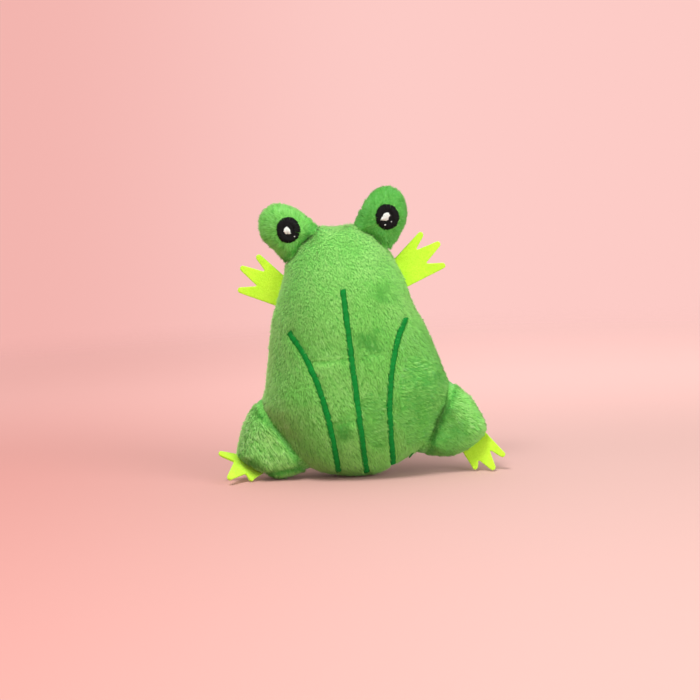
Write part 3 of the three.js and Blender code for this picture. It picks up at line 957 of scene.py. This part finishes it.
def add_loose_end(cover):
    """The end of the thread that closed the right leg's seam, standing off the cloth."""
    first, last = (toy(*place) for place in LOOSE_END)
    off_cloth = np.array([0, 3, 0]) * MM
    path = [first + (last - first) * t - off_cloth * t for t in (0, 0.4, 0.8, 1)]
    # It starts on the face of the cloth.
    cloth = tree_of(cover).find_nearest(Vector(first - [0, 4 * MM, 0]))[0]
    path = [p + (np.array(cloth) - first) for p in path]
    curve = bpy.data.curves.new("loose_thread_end", "CURVE")
    curve.dimensions = "3D"
    curve.bevel_depth = THREAD_RADIUS * 1.6
    curve.bevel_resolution = 2
    curve.use_fill_caps = True
    line = curve.splines.new("POLY")
    line.points.add(len(path) - 1)
    for point, place in zip(line.points, path):
        point.co = (*place, 1)
    thread = linked("loose_thread_curve", curve)
    mesh = evaluated(thread)
    bpy.data.objects.remove(thread)
    mesh.materials.clear()
    mesh.materials.append(GREEN_THREAD)
    made = linked("loose_thread_end", mesh)
    add_values(made, "tone", np.full(len(mesh.vertices), 0.1))
    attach(made, "torso")


def add_filling(form):
    """Wadding, and the sachet of catnip in the middle of it."""
    made = mixed_mesh("body_wadding_fill", *form.surface(96, 14, -LINING), WADDING)
    stuff(made, 0, 0.4 * MM, 41)
    move(made, pulled(places(made)))
    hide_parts("back_wadding", "belly_wadding")
    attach(made, "torso")
    pouch = Form("sachet_back", 2)
    made = mixed_mesh("sachet_pouch", *pouch.surface(96, 12, 0), FILTER_CLOTH)
    stuff(made, 0, 0.3 * MM, 43)
    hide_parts("sachet_back", "sachet_belly")
    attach(made, "torso")
    made = mixed_mesh("catnip_leaf", *pouch.surface(96, 12, -1.4 * MM), LEAF)
    stuff(made, 0, 0.5 * MM, 45)
    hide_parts("catnip")
    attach(made, "torso")


def add_limb(side, part, kind, around, rings, seed):
    """The skin of a pod or a leg, and where its pile is rooted."""
    names = [f"{side}_{part}_back", f"{side}_{part}_front"]
    form = Form(names[0], 2)
    hinge = Hinge(f"{side}_{kind}_flex")
    cover = skin(f"{side}_{part}_plush", form, around, rings, names, seed, 0.3 * MM)
    flare = POD_FLARE if part == "pod" else LEG_FLARE
    tuck(cover, hinge, *flare)
    move(cover, filled(places(cover), hinge))
    at = places(cover)
    depth = furrow(at, f"{side}_{part}")
    move(cover, at - normals_of(cover) * depth[:, None])
    roots, out = scatter(cover, TUFTS_PER_MM2, seed + 1)
    # What is tucked in further has no pile.
    keep = hinge.reach(roots) > -1.4 * MM
    roots, out = roots[keep], out[keep]
    return form, hinge, cover, roots, out


def finish_limb(side, part, form, hinge, cover, roots, out, comb, rub_and_shade, seed):
    """A limb's pile and wadding."""
    # The pile beside the sewn edge and right at it is painted darker, as painted shade in the
    # crease.
    beside = 1 - step(hinge.reach(unpulled(roots)), -0.5 * MM, 2.5 * MM)
    rub_and_shade = rub_and_shade + CREASE_SHADE[0] * beside + edge_shade(roots, hinge)
    grain = GRAIN[f"{side}_{part}"]
    pile = tufts(f"{side}_{part}_pile", roots, out, comb, seed, rub_and_shade, LIMB_CLUMP[part], grain)
    hinge.blend(cover)
    hinge.blend(pile)
    inner = form.surface(48, 8, -LIMB_LINING)
    fill = mixed_mesh(f"{side}_{part}_wadding_fill", *inner, WADDING)
    stuff(fill, 0, 0.2 * MM, seed + 3)
    move(fill, pulled(places(fill)))
    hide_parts(f"{side}_{part}_wadding")
    hinge.blend(fill)


def add_eye_pod(side):
    """An eye pod with its embroidered eye. The pile is combed away from the eye."""
    seed = POD_SEED[side]
    form, hinge, cover, roots, out = add_limb(side, "pod", "eye_pod", 120, 18, seed)
    low, high = (np.array(c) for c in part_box(f"{side}_eye"))
    eye = (low + high) / 2
    flat = np.stack([(roots - eye) @ ACROSS, (roots - eye) @ UPWARD], 1) / MM
    # The pile stops at the eye's rim.
    seen = (np.linalg.norm(flat / EYE_HALF, axis=1) > 0.95) | (roots[:, 1] > SEAM)
    roots, out = roots[seen], out[seen]
    away = roots - eye
    away[:, 1] = 0
    comb = unit(away) + 0.5 * hinge.out - 0.25 * UPWARD
    spans = border_spans(eye, seed) + fill_spans(eye)
    disc = stitches(f"{side}_eye_stitches", spans, cover, BLACK_THREAD, seed, 0.2 * MM)
    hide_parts(f"{side}_eye")
    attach(disc, hinge.child)
    spans = glint_spans(side, eye, seed)
    made = stitches(f"{side}_glint_stitches", spans, cover, WHITE_THREAD, seed, 0.6 * MM)
    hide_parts(f"{side}_eye_glint")
    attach(made, hinge.child)
    finish_limb(side, "pod", form, hinge, cover, roots, out, comb, POD_SHADE[side], seed + 5)


def on_eye(eye, across, height):
    """A place this far from an eye's middle."""
    return eye + in_plane(across, height) * MM


def border_spans(eye, seed):
    """Satin stitches from near an eye's middle out to its rim, at uneven lengths."""
    draw = rng(seed)
    count = int(2 * math.pi * EYE_HALF.mean() * MM / THREAD_PITCH)
    spans = []
    for turn in np.arange(count) * 2 * math.pi / count:
        # The rim is a little uneven.
        corner = 1 + 0.01 * math.cos(3 * turn + seed) + 0.008 * math.cos(7 * turn)
        skew = turn + draw.normal(0, 0.02)
        inner = EYE_HALF * draw.uniform(0.3, 0.45)
        outer = EYE_HALF * (corner + draw.normal(0, 0.02))
        first = on_eye(eye, math.cos(turn) * inner[0], math.sin(turn) * inner[1])
        last = on_eye(eye, math.cos(skew) * outer[0], math.sin(skew) * outer[1])
        spans.append([first, last])
    return spans


def fill_spans(eye):
    """Level stitches across the middle of an eye."""
    share = 0.55  # of the eye's size
    half = EYE_HALF * share
    spans = []
    margin = 0.1
    for height in np.arange(-half[1] + margin, half[1], THREAD_PITCH / MM):
        reach = half[0] * math.sqrt(1 - (height / half[1]) ** 2)
        spans.append([on_eye(eye, -reach, height), on_eye(eye, reach, height)])
    return spans


def glint_spans(side, eye, seed):
    """Upright stitches that fill a glint's outline, and the loose ones below it."""
    draw = rng(seed + 7)
    outline = np.array(GLINTS[side])
    after = np.roll(outline, -1, axis=0)
    pitch = THREAD_PITCH / MM * 0.8
    margin = 0.1
    spans = []
    for x in np.arange(outline[:, 0].min() + margin, outline[:, 0].max(), pitch):
        crossing = (outline[:, 0] - x) * (after[:, 0] - x) < 0
        a, b = outline[crossing], after[crossing]
        height = a[:, 1] + (b[:, 1] - a[:, 1]) * (x - a[:, 0]) / (b[:, 0] - a[:, 0])
        ends = height.min() + draw.normal(0, 0.1), height.max() + draw.normal(0, 0.1)
        spans.append([on_eye(eye, x, y) for y in ends])
    for x, y, long in SPARKS[side]:
        spans.append([on_eye(eye, x - long / 2, y), on_eye(eye, x + long / 2, y + 0.1)])
    return spans


def add_leg(side):
    """A hind leg. Its pile is painted darker in its furrows, as painted shade."""
    name = f"{side}_leg"
    seed = LEG_SEED[side]
    form, hinge, cover, roots, out = add_limb(side, "leg", "leg", 140, 20, seed)
    comb = np.tile(in_plane(*COMB[name]), (len(roots), 1))
    rub_and_shade = rub_and_shade_at(roots) + furrow(roots, name) / MM * 1.2
    finish_limb(side, "leg", form, hinge, cover, roots, out, comb, rub_and_shade, seed + 5)


# Felt


def add_felt(side, part, seed):
    """A felt hand or foot: its solid with rounded edges, curled, and sewn into its seam."""
    hinge = Hinge(f"{side}_{part}_flex")
    source = frame["nodes"][f"{side}_{part}"]
    made = linked(f"{side}_{part}_felt", source.data.copy())
    at = places(made)
    # The felt is bent at its hinge, so its own way out is along its middle.
    middle = at.mean(0) - hinge.place
    out = unit(middle - hinge.axis * (middle @ hinge.axis))
    reach = (at - hinge.place) @ out
    root = reach < reach.min() + 0.3 * MM
    at[root] -= out * FELT_SEWN_IN * MM
    made.data.vertices.foreach_set("co", at.astype(np.float32).ravel())
    even = made.modifiers.new("even", "REMESH")
    even.mode = "VOXEL"
    even.voxel_size = 0.28 * MM
    rounded = made.modifiers.new("rounded", "SMOOTH")
    rounded.iterations = 4
    mesh = evaluated(made)
    made.modifiers.clear()
    made.data = mesh
    mesh.materials.clear()
    mesh.materials.append(FELT)
    at, normal = places(made), normals_of(made)
    free = step((at - hinge.place) @ out, 2 * MM, 16 * MM)
    curl = drift(at, 14 * MM, seed) * FELT_CURL * MM * free
    fuzz = drift(at, 0.8 * MM, seed) * FELT_FUZZ * MM
    at = at + np.outer(curl, unit(np.cross(hinge.axis, out))) + normal * fuzz[:, None]
    move(made, at)
    mesh.polygons.foreach_set("use_smooth", np.ones(len(mesh.polygons), bool))
    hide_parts(source.name)
    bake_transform(made)


# Stage, camera and light. Each colour fades into a darker second one towards the left, as painted
# shade, and the near floor is painted darker than the far one.

WALL, WALL_LEFT = (253, 203, 198), (243, 180, 174)
FLOOR, FLOOR_LEFT = (217, 176, 169), (213, 148, 141)
FAR_FLOOR, FAR_FLOOR_LEFT = (250, 200, 194), (228, 169, 163)


def add_stage():
    """A pale paper floor that fades into the room's colour away from the toy."""
    half = 0.65  # metres from the middle to the paper's edge
    made, tree, shader = material("paper_floor", 0.9, specular=0.1)
    place = tree.nodes.new("ShaderNodeTexCoord").outputs["Object"]
    where = tree.nodes.new("ShaderNodeSeparateXYZ")
    tree.links.new(place, where.inputs[0])
    side = rescaled(tree, where.outputs["X"], -0.2, 0.1)
    near = ramp(tree, side, (0, FLOOR_LEFT), (1, FLOOR))
    far = ramp(tree, side, (0, FAR_FLOOR_LEFT), (1, FAR_FLOOR))
    # The far floor is painted paler than the near floor, as painted light where the lamps' light
    # falls off.
    rise = rescaled(tree, where.outputs["Y"], 0.02, 0.3)
    tree.links.new(blended(tree, rise, near, far), shader.inputs["Base Color"])
    away = node(tree, "ShaderNodeVectorMath", operation="LENGTH")
    tree.links.new(place, away.inputs[0])
    clear = tree.nodes.new("ShaderNodeBsdfTransparent")
    gone = rescaled(tree, away.outputs["Value"], 0.36, 0.62)
    mix_shaders(tree, gone, shader, clear, "Material Output")
    corners = [(-half, -half, 0), (half, -half, 0), (half, half, 0), (-half, half, 0)]
    mesh_of("paper_floor", corners, [(0, 1, 2, 3)], made)


def rescaled(tree, value, low, high):
    """From 0 where the value is low to 1 where it is high, smoothly."""
    ends = {"From_Min": low, "From_Max": high}
    made = node(tree, "ShaderNodeMapRange", interpolation_type="SMOOTHSTEP", **ends)
    tree.links.new(value, made.inputs["Value"])
    return made.outputs["Result"]


def add_camera():
    """The photograph's view: a little from above, rolled, with TAIL at its pixel."""
    distance = 0.9  # metres
    roll = math.radians(2.6)
    pixel = 0.4 * MM  # the size of one at the toy
    tail_x, tail_y = 366, 476
    half_frame = 350  # pixels
    forward = np.array([0, math.cos(LOOK_DOWN), -math.sin(LOOK_DOWN)])
    level = np.array([1.0, 0, 0])
    upright = np.cross(level, forward)
    right = level * math.cos(roll) - upright * math.sin(roll)
    up = upright * math.cos(roll) + level * math.sin(roll)
    aim = TAIL + (-right * (tail_x - half_frame) + up * (tail_y - half_frame)) * pixel
    camera = linked("camera", bpy.data.cameras.new("camera"))
    camera.data.lens = camera.data.sensor_width * distance / (2 * half_frame * pixel)
    camera.data.clip_start = 0.01
    place = Matrix(np.stack([right, up, -forward, aim - forward * distance], 1).tolist())
    place.resize_4x4()
    camera.matrix_world = place
    bpy.context.scene.camera = camera


def add_lamp(name, place, aim, size, power):
    """A round lamp of this size in metres and power in watts."""
    lamp = linked(name, bpy.data.lights.new(name, "AREA"))
    lamp.data.shape = "DISK"
    lamp.data.size = size
    lamp.data.energy = power
    lamp.location = place
    lamp.rotation_mode = "QUATERNION"
    lamp.rotation_quaternion = (Vector(aim) - Vector(place)).to_track_quat("-Z", "Y")


def add_light():
    """Two soft lamps, and a plain room that shows its wall's colour to the camera."""
    middle = (0, 0, 0.05)
    add_lamp("key", (-0.3, -0.55, 1.15), middle, 0.5, 11.3)
    add_lamp("fill", (0.9, -0.8, 0.4), middle, 0.8, 8)
    world = bpy.data.worlds.new("room")
    world.use_nodes = True
    tree = world.node_tree
    light = tree.nodes["Background"]
    light.inputs["Color"].default_value = (1, 0.98, 0.96, 1)
    light.inputs["Strength"].default_value = 0.64
    where = tree.nodes.new("ShaderNodeSeparateXYZ")
    tree.links.new(tree.nodes.new("ShaderNodeTexCoord").outputs["Generated"], where.inputs[0])
    seen = tree.nodes.new("ShaderNodeBackground")
    # The wall is painted darker towards the left, as painted shade.
    side = rescaled(tree, where.outputs["X"], -0.16, 0.04)
    tree.links.new(ramp(tree, side, (0, WALL_LEFT), (1, WALL)), seen.inputs["Color"])
    to_camera = tree.nodes.new("ShaderNodeLightPath").outputs["Is Camera Ray"]
    mix_shaders(tree, to_camera, light, seen, "World Output")
    bpy.context.scene.world = world
    bpy.context.scene.view_settings.view_transform = "Standard"


body_form, body_cover = add_body()
add_filling(body_form)
add_loose_end(body_cover)
for side in SIDES:
    add_eye_pod(side)
    add_leg(side)
    add_felt(side, "hand", 61)
    add_felt(side, "foot", 63)
add_stage()
add_camera()
add_light()
